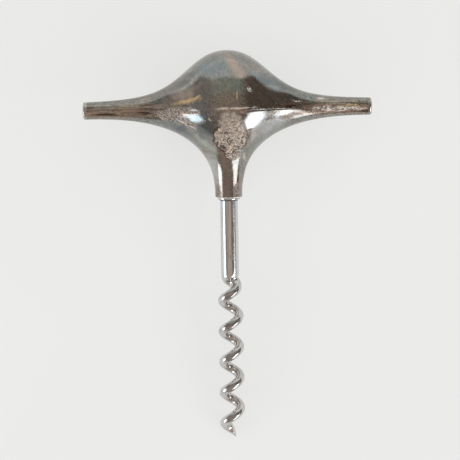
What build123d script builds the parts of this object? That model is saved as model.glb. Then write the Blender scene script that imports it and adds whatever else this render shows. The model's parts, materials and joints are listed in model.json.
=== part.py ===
from build123d import *
import math
import os

# T-handled corkscrew, lying on its back. It is modelled about the point where the axis of the arms
# crosses the axis of the worm: x along the arms, y up the worm's axis to the dome, z to the front.
# All sizes are in millimetres.

# Handle
handle_span = 100.6        # over both end caps
handle_depth = 32.0        # front to back across the bulge
dome_height = 20.4         # axis of the arms to the top of the dome
crown_width = 24.0         # how broad the top of the dome is
bulge_width = 28.0         # how broad the bulge is in front and behind
flank_width = 19.2         # how far out the flanks of dome and bulge reach
arm_diameter = 6.1         # at the tips
neck_diameter = 9.5        # at the mouth
neck_length = 31.1         # axis of the arms to the mouth
flank_fullness = 2.52      # exponent of the curve from neck to arm; 2 would be an ellipse
breast_fall = 1.5          # more than 1 lets the breast fall back sooner to the neck
mouth_bevel = 0.4          # on the outer edge of the neck's mouth
shell_wall = 1.0
cap_thickness = 1.4
cap_round = 0.8
cap_spigot_length = 3.0

# Inside the neck
bush_wall = 1.0
lip_diameter = 7.8
lip_height = 0.7
lip_round = 0.4
plate_depth = 16.0         # axis of the arms to the underside of the plate
plate_thickness = 2.0
nut_across_flats = 8.0
nut_height = 4.0
tang_end = 1.5             # length of tang above the nut
tang_flat = 0.82           # width across the tang's flats, as a share of its diameter

# Shank and worm
shank_diameter = 6.3
shank_length = 25.85       # straight part below the lip
worm_diameter = 8.9        # over the turns
wire_diameter = 3.3
worm_pitch = 10.9
worm_turns = 4.87          # from the first bend on the right to the point
root_turns = 0.7           # in which the shank is drawn down to the wire
root_lead = 0.4            # turns from the shank's end to the first bend
point_angle = 34.0         # of the ground bevel to the wire
point_turn = 38.0          # from the wire's upper side, how far the bevel faces outwards
point_land = 0.1           # left blunt at the point
bevel_margin = 0.1         # how far the bevel's cut runs past the wire, as a share of its own length

# Fits
slip_gap = 0.05            # between a pin and its hole, on the radius
seat_gap = 0.1             # between the plate's edge and the funnel

# Fineness of the surfaces
dome_stations = 17         # sections from arm to arm
dome_crowding = 1.25       # more than 1 brings them closer together in the middle
flank_stations = 8         # sections from the diagonal to the arm's end, and to the mouth
flank_crowding = 1.3       # more than 1 brings them closer together at the diagonal
girth_points = 7           # points on a quarter of a section
root_stations = 11
profile_samples = 200
halvings = 40              # steps of a search by halves

arm_r = arm_diameter / 2
neck_r = neck_diameter / 2
shank_r = shank_diameter / 2
wire_r = wire_diameter / 2
worm_r = worm_diameter / 2 - wire_r
half_depth = handle_depth / 2
arm_seat = handle_span / 2 - cap_thickness
bush_r = neck_r - shell_wall - slip_gap
bush_bore_r = bush_r - bush_wall
tang_r = bush_bore_r - slip_gap
shoulder = neck_length + lip_height
first_bend = shoulder + shank_length + root_lead * worm_pitch
plate_top = plate_depth - plate_thickness


def bell(x, width):
    """Swell along the arms: 1 in the middle and 0 at the ends of the arms."""
    def rise(t):
        return 1 / (1 + (t / width) ** 2 + (t / flank_width) ** 4)
    return (rise(x) - rise(arm_seat)) / (1 - rise(arm_seat))


def crown(x, inset):
    """Height of the handle's top above the axis of the arms."""
    return arm_r - inset + (dome_height - arm_r) * bell(x, crown_width)


def rim(x, inset):
    """Half the handle's depth at the level of the arms."""
    return arm_r - inset + (half_depth - arm_r) * bell(x, bulge_width)


def breast(y, inset):
    """Half the handle's depth at its middle, from the bulge at 0 down to the round neck."""
    wave = (1 + math.cos(math.pi * min(abs(y) / neck_length, 1))) / 2
    return neck_r - inset + (half_depth - neck_r) * wave ** breast_fall


def flank(turn, inset):
    """Point on the outline from the neck's mouth (turn 0) to the arm's end (turn 90)."""
    x_reach = arm_seat - neck_r + inset
    y_reach = neck_length - arm_r + inset
    x = arm_seat - x_reach * max(math.cos(math.radians(turn)), 0) ** (2 / flank_fullness)
    y = neck_length - y_reach * max(math.sin(math.radians(turn)), 0) ** (2 / flank_fullness)
    return x, y


def flank_turn(lead, inset):
    """Turn at which the outline's point has x * x - y * y = lead."""
    low, high = 0.0, 90.0
    for _ in range(halvings):
        middle = (low + high) / 2
        x, y = flank(middle, inset)
        if x * x - y * y < lead:
            low = middle
        else:
            high = middle
    return (low + high) / 2


def lower_half_depth(x, y, inset):
    """Half the depth of the lower handle at x and y: full on both axes, nothing on the outline."""
    x_edge, y_edge = flank(flank_turn(x * x - y * y, inset), inset)
    share = min(x * y / (x_edge * y_edge), 1)
    full = rim(x, inset) * breast(y, inset) / (half_depth - inset)
    return full * math.sqrt(1 - share * share)


def girth(points, angles):
    """Closed section: a smooth curve through the points, and a straight line back across."""
    curve = Edge.make_spline(points, parameters=angles)
    return Wire([curve, Edge.make_line(points[-1], points[0])])


def upper_solid(inset):
    """Upper half of the handle: half ellipses along the arms."""
    count = 2 * girth_points
    angles = [math.pi * i / count for i in range(count + 1)]
    sections = []
    for i in range(dome_stations):
        side = 2 * i / (dome_stations - 1) - 1
        x = arm_seat * math.copysign(abs(side) ** dome_crowding, side)
        points = [(x, crown(x, inset) * math.sin(a), rim(x, inset) * math.cos(a)) for a in angles]
        sections.append(girth(points, angles))
    return Solid.make_loft(sections)


def lower_section(x_axis, y_axis, turn, inset):
    """Section from a point on the axes out to the outline, in front, and back again behind."""
    count = 2 * girth_points
    angles = [math.pi * i / count for i in range(count + 1)]
    x_edge, y_edge = flank(turn, inset)
    points = []
    for a in angles:
        x = x_axis + (x_edge - x_axis) * math.sin(a)
        y = y_axis + (y_edge - y_axis) * math.sin(a)
        side = 0 if abs(math.cos(a)) < 1e-9 else math.copysign(1, math.cos(a))
        points.append((x, -y, side * lower_half_depth(x, y, inset)))
    return girth(points, angles)


def lower_solid(inset):
    """Lower half of the handle: each side is an arm and half a neck, which meet on a diagonal."""
    corner = flank_turn(0, inset)
    arm, neck = [], []
    for i in range(flank_stations + 1):
        step = i / flank_stations
        turn = corner + (90 - corner) * step ** flank_crowding
        x, y = flank(turn, inset)
        reach = math.sqrt(max(x * x - y * y, 0)) if i else 0
        tip_x, tip_y = flank(90, inset)
        arm.append(lower_section(reach * tip_x / math.sqrt(tip_x ** 2 - tip_y ** 2), 0, turn, inset))
        turn = corner * (1 - step ** flank_crowding)
        x, y = flank(turn, inset)
        reach = math.sqrt(max(y * y - x * x, 0)) if i else 0
        end_x, end_y = flank(0, inset)
        neck.append(lower_section(0, reach * end_y / math.sqrt(end_y ** 2 - end_x ** 2), turn, inset))
    right = [Solid.make_loft(arm), Solid.make_loft(neck)]
    left = [mirror(solid, about=Plane.YZ) for solid in right]
    return right[0].fuse(right[1], *left)


def post(radius, top, bottom):
    """Round bar on the worm's axis between two depths below the axis of the arms."""
    start = Plane(origin=(0, -top, 0), x_dir=(1, 0, 0), z_dir=(0, -1, 0))
    return start * Cylinder(radius, bottom - top, align=(Align.CENTER, Align.CENTER, Align.MIN))


def flatted_post(radius, top, bottom):
    """The same bar with two flats, to its left and right."""
    width = 2 * radius * tang_flat
    slab = Pos(0, -(top + bottom) / 2, 0) * Box(width, bottom - top, 4 * radius)
    return post(radius, top, bottom) & slab


def make_upper_shell():
    """Domed upper half of the hollow handle."""
    return upper_solid(0) - upper_solid(shell_wall)


def make_lower_shell():
    """Lower half of the hollow handle, with a bevel round the neck's mouth."""
    start = neck_length - 2 * mouth_bevel
    top = Plane(origin=(0, -start, 0), x_dir=(1, 0, 0), z_dir=(0, -1, 0))
    wide = neck_r + mouth_bevel
    narrow = neck_r - mouth_bevel
    cone = Cone(wide, narrow, 2 * mouth_bevel, align=(Align.CENTER, Align.CENTER, Align.MIN))
    edge = post(neck_diameter, start, neck_length) - top * cone
    return lower_solid(0) - lower_solid(shell_wall) - edge


def make_end_cap():
    """Rounded disc on the right arm's end, with a spigot inside the arm."""
    seat = Plane.YZ.offset(arm_seat)
    disc = seat * Cylinder(arm_r, cap_thickness, align=(Align.CENTER, Align.CENTER, Align.MIN))
    disc = fillet(disc.edges().sort_by(Axis.X)[-1], cap_round)
    spigot_r = arm_r - shell_wall - slip_gap
    spigot = seat * Cylinder(spigot_r, cap_spigot_length, align=(Align.CENTER, Align.CENTER, Align.MAX))
    return disc + spigot


def make_neck_bush():
    """Tube in the neck, from the lip below the mouth up to the plate."""
    lip = post(lip_diameter / 2, neck_length, shoulder)
    lip = fillet(lip.edges().sort_by(Axis.Y)[0], lip_round)
    return post(bush_r, plate_depth, neck_length) + lip - post(bush_bore_r, plate_depth, shoulder)


def make_anchor_plate():
    """Oval plate that wedges in the funnel above the neck."""
    slab = Pos(0, -(plate_depth + plate_top) / 2, 0) * Box(handle_span, plate_thickness, handle_depth)
    hole = flatted_post(tang_r + slip_gap, plate_top, plate_depth)
    return (lower_solid(shell_wall + seat_gap) & slab) - hole


def make_tang_nut():
    """Hexagon nut on the tang, above the plate."""
    face = Plane(origin=(0, -plate_top, 0), x_dir=(1, 0, 0), z_dir=(0, 1, 0))
    outline = RegularPolygon(nut_across_flats / 2, 6, major_radius=False)
    block = extrude(face * outline, nut_height)
    return block - post(tang_r + slip_gap, plate_top - nut_height, plate_top)


def spoke(turns):
    """Direction from the worm's axis, its turns counted from the first bend on the right."""
    return Vector(math.cos(2 * math.pi * turns), 0, math.sin(2 * math.pi * turns))


def worm_centre(turns, radius):
    """Point on the worm's centre line."""
    return spoke(turns) * radius - Vector(0, first_bend + worm_pitch * turns, 0)


def make_worm_root():
    """The shank is drawn down to the wire, which leans over and winds out to the worm's radius."""
    sections = []
    for i in range(root_stations):
        step = i / (root_stations - 1)
        ease = step * step * (3 - 2 * step)
        turns = root_turns * step - root_lead
        around = spoke(turns + 1 / 4) * (2 * math.pi * worm_r * ease)
        along = (around - Vector(0, worm_pitch, 0)).normalized()
        front = Vector(0, 0, 1) - along * along.Z
        place = Plane(origin=worm_centre(turns, worm_r * ease), x_dir=front, z_dir=along)
        circle = Edge.make_circle(shank_r + (wire_r - shank_r) * ease, place)
        sections.append(Wire([circle]))
    return Solid.make_loft(sections)


def make_worm_wire():
    """The turns of the worm, ground to a point at the lower end."""
    root_end = root_turns - root_lead
    top = Plane(origin=worm_centre(root_end, 0), x_dir=spoke(root_end), z_dir=(0, -1, 0))
    path = top * Helix(worm_pitch, worm_pitch * (worm_turns - root_end), worm_r)
    start = Plane(origin=path @ 0, z_dir=path % 0)
    wire = sweep(start * Circle(wire_r), path=path, is_frenet=True)
    along = path % 1
    below = Vector(0, -1, 0) - along * along.dot(Vector(0, -1, 0))
    below = below.normalized()
    turn = math.radians(point_turn)
    toe = below * math.cos(turn) - spoke(worm_turns) * math.sin(turn)
    bevel = math.radians(point_angle)
    slope = along * -math.cos(bevel) - toe * math.sin(bevel)
    away = along * math.sin(bevel) - toe * math.cos(bevel)
    ground = Plane(origin=(path @ 1) + toe * (wire_r - point_land), x_dir=slope, z_dir=away)
    length = wire_diameter / math.sin(bevel)
    margin = bevel_margin * length
    corner = (Align.MIN, Align.CENTER, Align.MIN)
    stone = Box(length + 2 * margin, 2 * wire_diameter, wire_diameter, align=corner)
    return wire - ground * Pos(-margin, 0, 0) * stone


def make_worm_shank():
    """Tang, shank and worm, one piece of steel."""
    tang_top = plate_top - nut_height - tang_end
    shank = post(shank_r, shoulder, shoulder + shank_length)
    tang = flatted_post(tang_r, tang_top, plate_depth) + post(tang_r, plate_depth, shoulder)
    return shank + tang + make_worm_root() + make_worm_wire()


def handle_low(tilt):
    """Lowest point of the handle's back with the corkscrew tilted, tip down."""
    low = 0.0
    for i in range(-profile_samples, profile_samples + 1):
        y = dome_height * i / profile_samples
        depth = breast(y, 0)
        if y > 0:
            depth = half_depth * math.sqrt(1 - (y / dome_height) ** 2)
        low = min(low, y * math.sin(tilt) - depth * math.cos(tilt))
    return low


def worm_low(tilt):
    """Lowest point of the worm's back with the corkscrew tilted, tip down."""
    low = 0.0
    for i in range(profile_samples + 1):
        centre = worm_centre(worm_turns * i / profile_samples, worm_r)
        low = min(low, centre.Y * math.sin(tilt) + centre.Z * math.cos(tilt) - wire_r)
    return low


def rest_tilt():
    """Angle at which the bulge and the worm both lie on the table."""
    low, high = 0.0, math.pi / 4
    for _ in range(halvings):
        middle = (low + high) / 2
        if worm_low(middle) > handle_low(middle):
            low = middle
        else:
            high = middle
    return math.degrees(low)


right_end_cap = make_end_cap()
pieces = {
    "upper_shell": make_upper_shell(),
    "lower_shell": make_lower_shell(),
    "right_end_cap": right_end_cap,
    "left_end_cap": mirror(right_end_cap, about=Plane.YZ),
    "neck_bush": make_neck_bush(),
    "anchor_plate": make_anchor_plate(),
    "tang_nut": make_tang_nut(),
    "worm_shank": make_worm_shank(),
}

# The corkscrew lies on its back: bulge and worm touch the table, and the middle of its box is the origin.
tilted = Rot(rest_tilt(), 0, 0)
box = Compound(children=[tilted * piece for piece in pieces.values()]).bounding_box()
table = Pos(-box.center().X, -box.center().Y, -box.min.Z) * tilted

os.makedirs("parts", exist_ok=True)
for name, piece in pieces.items():
    export_step(table * piece, f"parts/{name}.step")

turns = table.orientation
middle = table.position
print(f"tilt {turns.X:.3f}; axes cross at {middle.X:.3f} {middle.Y:.3f} {middle.Z:.3f}")
for name, piece in pieces.items():
    print(name, "valid" if piece.is_valid else "INVALID", f"{piece.volume:.1f}", len(piece.solids()))
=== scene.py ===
import json
import math

import bpy
import numpy as np
from bpy.props import FloatProperty, FloatVectorProperty, PointerProperty
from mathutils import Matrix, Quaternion, Vector


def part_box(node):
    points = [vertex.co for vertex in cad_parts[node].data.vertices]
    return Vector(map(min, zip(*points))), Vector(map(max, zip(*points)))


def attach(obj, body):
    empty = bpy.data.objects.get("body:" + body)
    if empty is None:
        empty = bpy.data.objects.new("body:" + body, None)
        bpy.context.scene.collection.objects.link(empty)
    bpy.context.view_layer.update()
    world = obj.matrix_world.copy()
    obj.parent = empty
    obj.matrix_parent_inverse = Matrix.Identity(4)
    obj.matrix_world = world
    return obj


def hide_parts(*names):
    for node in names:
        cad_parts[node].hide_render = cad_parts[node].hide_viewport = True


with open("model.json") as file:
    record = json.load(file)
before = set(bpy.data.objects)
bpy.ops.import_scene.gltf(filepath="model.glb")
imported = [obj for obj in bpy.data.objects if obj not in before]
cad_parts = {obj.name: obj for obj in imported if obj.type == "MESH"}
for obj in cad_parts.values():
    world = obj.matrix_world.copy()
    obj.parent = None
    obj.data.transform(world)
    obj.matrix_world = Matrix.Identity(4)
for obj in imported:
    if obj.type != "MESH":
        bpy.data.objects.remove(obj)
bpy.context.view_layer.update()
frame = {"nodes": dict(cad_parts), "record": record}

bl_info = {
    "name": "T-handled corkscrew",
    "version": (1, 0, 0),
    "blender": (4, 5, 0),
    "location": "3D View > Sidebar > Corkscrew",
    "description": "Old silver-plated corkscrew with a hollow handle and a steel worm, lying on its back",
    "category": "Add Mesh",
}

MILLIMETRE = 0.001
MICRONS = 1e6

# Edges that turn by more than this stay hard
HARD_EDGE = math.radians(38)

# Points along and round the surfaces, and steps of a search by halving
DOME_ROWS = 171
DOME_STEPS = 34
ARM_ROWS = 92
NECK_ROWS = 62
NECK_STEPS = 30
SHANK_ROWS = 12
ROOT_ROWS = 46
WORM_ROWS = 190
POINT_ROWS = 22
WIRE_COLUMNS = 48
CUT_ROWS = 600
HALVINGS = 44

# Last part of a turn, in which the ground point is looked for
CUT_TURN = 0.4

# Rows of the worm that the tang's flats cut
TANG_ROWS = 3

# How much of its metal look the plate loses where it is bare, and how nodes are laid out
MATTE = 0.75
NODE_COLUMNS = 12
NODE_WIDTH = 190
NODE_HEIGHT = 260


# Sizes and colours


def length(name, description, default):
    """A size in metres."""
    return FloatProperty(
        name=name, description=description, default=default, min=0, precision=5, unit="LENGTH"
    )


def share(name, description, default):
    """A plain number."""
    return FloatProperty(name=name, description=description, default=default, min=0, precision=3)


def bend(name, description, default):
    """An angle, its default in degrees."""
    return FloatProperty(name=name, description=description, default=math.radians(default), subtype="ANGLE")


def colour(name, description, default):
    """A linear colour."""
    return FloatVectorProperty(
        name=name, description=description, default=(*default, 1), size=4, min=0, max=1, subtype="COLOR"
    )


class HandleSizes(bpy.types.PropertyGroup):
    span: length("Span", "Over both end caps", 0.1006)
    depth: length("Depth", "Front to back across the bulge", 0.032)
    dome_height: length("Dome height", "Axis of the arms to the top of the dome", 0.0204)
    crown_width: length("Crown width", "How broad the top of the dome is", 0.024)
    bulge_width: length("Bulge width", "How broad the bulge is in front and behind", 0.028)
    flank_width: length("Flank width", "How far out the flanks of dome and bulge reach", 0.0192)
    arm_diameter: length("Arm diameter", "At the tips", 0.0061)
    neck_diameter: length("Neck diameter", "At the mouth", 0.0095)
    neck_length: length("Neck length", "Axis of the arms to the mouth", 0.0311)
    fullness: share("Flank fullness", "Exponent of the curve from neck to arm; 2 is an ellipse", 2.52)
    breast_fall: share("Breast fall", "More than 1 lets the breast fall back sooner to the neck", 1.5)
    wall: length("Wall", "Thickness of the shells", 0.001)
    seam_round: length("Seam round", "Worn edge of each half along the seam", 0.00006)
    mouth_bevel: length("Mouth bevel", "Worn edge of the neck's mouth", 0.0004)
    cap_thickness: length("Cap thickness", "Of the discs on the arms' ends", 0.0014)
    cap_round: length("Cap round", "Rounded edge of the discs", 0.0008)
    spigot_length: length("Spigot length", "Of a disc, inside the arm", 0.003)
    slip_gap: length("Slip gap", "Between a pin and its hole, on the radius", 0.00005)


class SteelSizes(bpy.types.PropertyGroup):
    bush_depth: length("Bush depth", "Axis of the arms to the top of the bush in the neck", 0.016)
    bush_wall: length("Bush wall", "Thickness of the tube in the neck", 0.001)
    lip_diameter: length("Lip diameter", "Of the bush, below the mouth", 0.0078)
    lip_height: length("Lip height", "Of the bush, below the mouth", 0.0007)
    lip_round: length("Lip round", "Rounded edge of the lip", 0.0004)
    tang_depth: length("Tang depth", "Axis of the arms to the top of the tang", 0.0085)
    tang_flat: share("Tang flat", "Width across the tang's flats, as a share of its diameter", 0.82)
    shank_diameter: length("Shank diameter", "Of the straight part", 0.0063)
    shank_length: length("Shank length", "Straight part below the lip", 0.02585)
    shank_bevel: length("Shank bevel", "On the shank's upper edge", 0.0002)
    worm_diameter: length("Worm diameter", "Over the turns", 0.0089)
    wire_diameter: length("Wire diameter", "Of the worm's round wire", 0.0033)
    pitch: length("Pitch", "Of the worm", 0.0109)
    turns: share("Turns", "From the first bend on the right to the point", 4.87)
    root_turns: share("Root turns", "In which the shank is drawn down to the wire", 0.7)
    root_lead: share("Root lead", "Turns from the shank's end to the first bend", 0.4)
    point_angle: bend("Point angle", "Of the ground face to the wire", 34)
    point_turn: bend("Point turn", "From the wire's upper side, how far the ground face looks outwards", 38)
    point_land: length("Point land", "Left blunt at the point", 0.0001)


class Finish(bpy.types.PropertyGroup):
    film_grey: colour("Grey film", "Tarnish on most of the plate", (0.29, 0.285, 0.26))
    film_teal: colour("Teal film", "Bluish tarnish on the crown and the arms", (0.24, 0.285, 0.30))
    # This colour also paints the sheen on the dome's left band and the highlight on the neck.
    film_rose: colour("Rose film", "Pinkish tarnish on the crown", (0.48, 0.375, 0.315))
    # Brown and deep film also paint the shade on the dome's outer flanks.
    film_brown: colour("Brown film", "Dark tarnish along the arms and below the seam", (0.31, 0.245, 0.205))
    film_deep: colour("Deep film", "Thickest bluish tarnish, beside the rose streak", (0.15, 0.17, 0.172))
    film_green: colour("Green film", "Pale greenish tarnish on the left flank", (0.42, 0.46, 0.39))
    film_plum: colour("Plum film", "Brown and purple tarnish round the neck", (0.37, 0.305, 0.28))
    film_silver: colour("Silver film", "Thin bluish film on the right flank and the neck", (0.52, 0.55, 0.56))
    # This colour also paints the glint on the right arm.
    worn_silver: colour("Worn silver", "Rubbed edges at the seam, the caps and the mouth", (0.72, 0.67, 0.62))
    brass: colour("Brass", "Base metal where the plate is scratched through", (0.68, 0.47, 0.20))
    crust: colour("Crust", "Corroded patch in front, where the plate has gone", (0.31, 0.25, 0.20))
    crust_pale: colour("Pale ridges", "Ridges in the corroded patch", (0.63, 0.51, 0.415))
    # This colour also paints the dark reflections on the worm's crests and the shadow under the mouth ring.
    crust_dark: colour("Dark pits", "Pits in the corroded patch", (0.05, 0.038, 0.03))
    steel: colour("Steel", "Drawn steel of shank and worm", (0.71, 0.705, 0.70))
    steel_stain: colour("Steel stain", "Brown stains on the steel", (0.36, 0.27, 0.21))
    # Painted reflection: the bluish streaks that the windows make along the shank, painted into the steel.
    painted_reflection_blue: colour("Blue steel", "Bluish lines along the shank", (0.47, 0.57, 0.70))


class Studio(bpy.types.PropertyGroup):
    floor: colour("Floor", "Pale paper", (0.835, 0.835, 0.82))
    ceiling: colour("Ceiling", "Room above, as the metal shows it", (0.50, 0.41, 0.35))
    left_wall: colour("Left wall", "Left side of the room, as the metal shows it", (0.40, 0.37, 0.35))
    right_wall: colour("Right wall", "Right side of the room, as the metal shows it", (0.19, 0.155, 0.13))
    daylight: colour("Daylight", "Tint of both windows", (0.91, 0.965, 1.0))
    front_wall: colour("Front wall", "Room beyond the card, as the metal shows it", (0.48, 0.50, 0.44))
    card: colour("Card", "White card behind the dome, as the metal shows it", (0.84, 0.85, 0.84))
    fill: share("Fill", "Even light from all round", 0.80)
    right_window: share("Right window", "Radiance of the right softbox", 3.2)
    left_window: share("Left window", "Radiance of the left softbox", 3.2)
    lens: FloatProperty(name="Lens", description="Focal length", default=180, subtype="DISTANCE_CAMERA")
    camera_height: length("Camera height", "Above the table", 0.8173)


# Shapes, in the tool's own frame: x along the arms, y up the worm's axis to the dome, z to the front


def tool_frame():
    """Point where the axes cross, which is the middle of the arms, and the lean of the worm's axis."""
    low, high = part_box("right_end_cap")
    mount = next(m for m in frame["record"]["mounts"] if m["name"] == "worm")
    lean = math.atan2(-mount["axis"][2], -mount["axis"][1])
    return (0.0, (low.y + high.y) / 2, (low.z + high.z) / 2), lean


def laid_down(points):
    """Points of the tool turned by its lean about x and moved to where it lies on the table."""
    crossing, lean = tool_frame()
    x, y, z = np.moveaxis(points, -1, 0)
    cosine, sine = np.cos(lean), np.sin(lean)
    return np.stack([x, y * cosine - z * sine, y * sine + z * cosine], axis=-1) + np.array(crossing)


def grid_faces(rows, columns, start, closed):
    """Corners of the quads of a grid: each point, the one below, the one diagonally below and the next."""
    index = start + np.arange(rows * columns).reshape(rows, columns)
    after = np.roll(index, -1, axis=1) if closed else index[:, 1:]
    before = index if closed else index[:, :-1]
    return np.stack([before[:-1], before[1:], after[1:], after[:-1]], axis=-1).reshape(-1, 4)


def joined(grids):
    """Grids as one surface: points closer than a micron merge, and quads that close up become triangles."""
    starts = np.cumsum([0] + [points.shape[0] * points.shape[1] for points, _ in grids])
    faces = np.concatenate(
        [grid_faces(*points.shape[:2], start, closed) for (points, closed), start in zip(grids, starts)]
    )
    points = np.concatenate([points.reshape(-1, 3) for points, _ in grids])
    microns = np.round(points * MICRONS).astype(np.int64)
    _, first, merged = np.unique(microns, axis=0, return_index=True, return_inverse=True)
    faces = merged.reshape(-1)[faces]
    shut = faces == np.roll(faces, -1, axis=1)
    triangles = [np.delete(faces[shut[:, k] & (shut.sum(axis=1) == 1)], k, axis=1) for k in range(4)]
    return points[first], faces[~shut.any(axis=1)], np.concatenate(triangles), first


def enclosed(points, triangles):
    """Volume inside closed triangles: a sixth of the sum of their corners' triple products."""
    a, b, c = np.moveaxis(points[triangles], 1, 0)
    return np.einsum("ij,ij->", a, np.cross(b, c)) / 6


def add_piece(name, grids, material, node, grain=None):
    """Object for grids of tool points, laid down, smooth but for hard edges, standing for a CAD node."""
    points, quads, triangles, first = joined([(laid_down(points), closed) for points, closed in grids])
    halves = np.concatenate([quads[:, [0, 1, 2]], quads[:, [0, 2, 3]], triangles])
    if enclosed(points, halves) < 0:
        quads, triangles = quads[:, ::-1], triangles[:, ::-1]
    mesh = bpy.data.meshes.new(name)
    mesh.from_pydata(points.tolist(), [], quads.tolist() + triangles.tolist())
    mesh.polygons.foreach_set("use_smooth", np.ones(len(mesh.polygons), dtype=bool))
    mesh.set_sharp_from_angle(angle=HARD_EDGE)
    if grain is not None:
        layer = mesh.attributes.new("grain", "FLOAT_VECTOR", "POINT")
        layer.data.foreach_set("vector", grain.reshape(-1, 3)[first].ravel())
    mesh.update()
    mesh.materials.append(material)
    piece = bpy.data.objects.new(name, mesh)
    bpy.context.scene.collection.objects.link(piece)
    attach(piece, "root")
    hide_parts(node)


def arm_seat(sizes):
    """Half the span less the cap."""
    return sizes.span / 2 - sizes.cap_thickness


def bell(sizes, x, width):
    """Swell along the arms: 1 / (1 + square + fourth power), brought to 1 in the middle and 0 at the ends."""

    def rise(t):
        return 1 / (1 + (t / width) ** 2 + (t / sizes.flank_width) ** 4)

    end = rise(arm_seat(sizes))
    return (rise(x) - end) / (1 - end)


def crown(sizes, x, inset=0):
    """Height of the top above the arms' axis: the arm's radius plus a bell."""
    tip = sizes.arm_diameter / 2
    return tip - inset + (sizes.dome_height - tip) * bell(sizes, x, sizes.crown_width)


def rim(sizes, x, inset=0):
    """Half the depth at the level of the arms: the arm's radius plus a broader bell."""
    tip = sizes.arm_diameter / 2
    return tip - inset + (sizes.depth / 2 - tip) * bell(sizes, x, sizes.bulge_width)


def breast(sizes, depth, inset=0):
    """Half the depth in the middle: half a cosine wave, to a power, from the bulge down to the round neck."""
    neck = sizes.neck_diameter / 2
    wave = (1 + np.cos(np.pi * np.clip(depth / sizes.neck_length, 0, 1))) / 2
    return neck - inset + (sizes.depth / 2 - neck) * wave ** sizes.breast_fall


def flank(sizes, turn, inset=0):
    """Outline from the mouth (turn 0) to the arm's end (90): cosine and sine to the power 2 / fullness."""
    neck, tip = sizes.neck_diameter / 2, sizes.arm_diameter / 2
    power = 2 / sizes.fullness
    x = arm_seat(sizes) - (arm_seat(sizes) - neck + inset) * np.cos(turn).clip(0) ** power
    depth = sizes.neck_length - (sizes.neck_length - tip + inset) * np.sin(turn).clip(0) ** power
    return x, depth


def flank_turn(sizes, lead, inset=0):
    """Turn of the outline's point where x squared less depth squared is the lead, found by halving."""
    low, high = np.zeros_like(lead), np.full_like(lead, np.pi / 2)
    for _ in range(HALVINGS):
        middle = (low + high) / 2
        x, depth = flank(sizes, middle, inset)
        short = x * x - depth * depth < lead
        low, high = np.where(short, middle, low), np.where(short, high, middle)
    return (low + high) / 2


def lower_half_depth(sizes, x, depth, inset=0):
    """Rim times breast over the bulge, times the root of 1 less a squared share.

    The share is x times depth, over x times depth at the outline's point with the same lead.
    """
    x_edge, edge = flank(sizes, flank_turn(sizes, x * x - depth * depth, inset), inset)
    part = np.clip(x * depth / (x_edge * edge), 0, 1)
    full = rim(sizes, x, inset) * breast(sizes, depth, inset) / (sizes.depth / 2 - inset)
    return full * np.sqrt(1 - part * part)


def girth_steps(edge_share, count):
    """Sine of the angle from the seam to the outline: close steps over the worn edge, then even angles."""
    near = edge_share[:, None] * np.array([0, 0.12, 0.3, 0.6])
    start = np.arcsin(edge_share)[:, None]
    return np.concatenate([near, np.sin(start + (np.pi / 2 - start) * np.linspace(0, 1, count))], axis=1)


def worn_edge(sizes, height):
    """Fall of a quarter round at the seam: the radius less the root of its square less the rest's square."""
    r = sizes.seam_round
    rest = np.clip(r - height, 0, r)
    return r - np.sqrt(r * r - rest * rest)


def both_sides(front):
    """Columns in front, from the seam to the outline, followed by the same behind."""
    behind = front[:, -2::-1] * np.array([1, 1, -1])
    return np.concatenate([front, behind], axis=1)


def dome_grids(sizes):
    """Half ellipses along the arms, outside and one wall in, with strips at the seam and the arms' ends."""
    x = np.linspace(-1, 1, DOME_ROWS)[:, None] * arm_seat(sizes)
    sine = girth_steps((sizes.seam_round / crown(sizes, x))[:, 0], DOME_STEPS)
    across = np.broadcast_to(x, sine.shape)
    cosine = np.sqrt(1 - sine * sine)
    high = crown(sizes, x) * sine
    outer = both_sides(np.stack([across, high, rim(sizes, x) * cosine - worn_edge(sizes, high)], axis=-1))
    low, thin = crown(sizes, x, sizes.wall), rim(sizes, x, sizes.wall)
    inner = both_sides(np.stack([across, low * sine, thin * cosine], axis=-1))
    loop = np.concatenate([outer, inner[:, ::-1]], axis=1)
    ends = [np.stack([inner[0], outer[0]]), np.stack([outer[-1], inner[-1]])]
    return [(loop, True)] + [(strip, False) for strip in ends]


def lower_side(sizes, inset):
    """Right half below the seam: straight rulings from the arm's axis, then the neck's, to the outline."""
    tip_x, tip_depth = flank(sizes, np.array(np.pi / 2), inset)
    end_x, end_depth = flank(sizes, np.array(0.0), inset)
    on_arm = np.linspace(1, 0, ARM_ROWS, endpoint=False) * tip_x
    on_neck = np.concatenate([np.linspace(0, end_depth - sizes.mouth_bevel, NECK_ROWS), end_depth[None]])
    lead_arm = on_arm ** 2 * (1 - (tip_depth / tip_x) ** 2)
    lead_neck = -on_neck ** 2 * (1 - (end_x / end_depth) ** 2)
    x_edge, edge = flank(sizes, flank_turn(sizes, np.concatenate([lead_arm, lead_neck]), inset), inset)
    x_axis = np.concatenate([on_arm, 0 * on_neck])
    axis = np.concatenate([0 * on_arm, on_neck])
    reach = np.hypot(x_edge - x_axis, edge - axis)
    sine = girth_steps(sizes.seam_round / reach, NECK_STEPS)
    x = x_axis[:, None] + (x_edge - x_axis)[:, None] * sine
    depth = axis[:, None] + (edge - axis)[:, None] * sine
    front = lower_half_depth(sizes, x, depth, inset)
    front[:, -1] = 0
    if not inset:
        front = front - worn_edge(sizes, depth)
        round_off = sizes.neck_diameter / 2 + sizes.neck_length - sizes.mouth_bevel - depth
        pull = np.clip(round_off / np.maximum(np.hypot(x, front), 1e-9), 0, 1)
        mouth = depth > sizes.neck_length - 1.01 * sizes.mouth_bevel
        x, front = np.where(mouth, x * pull, x), np.where(mouth, front * pull, front)
    return both_sides(np.stack([x, -depth, front.clip(0)], axis=-1))


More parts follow.
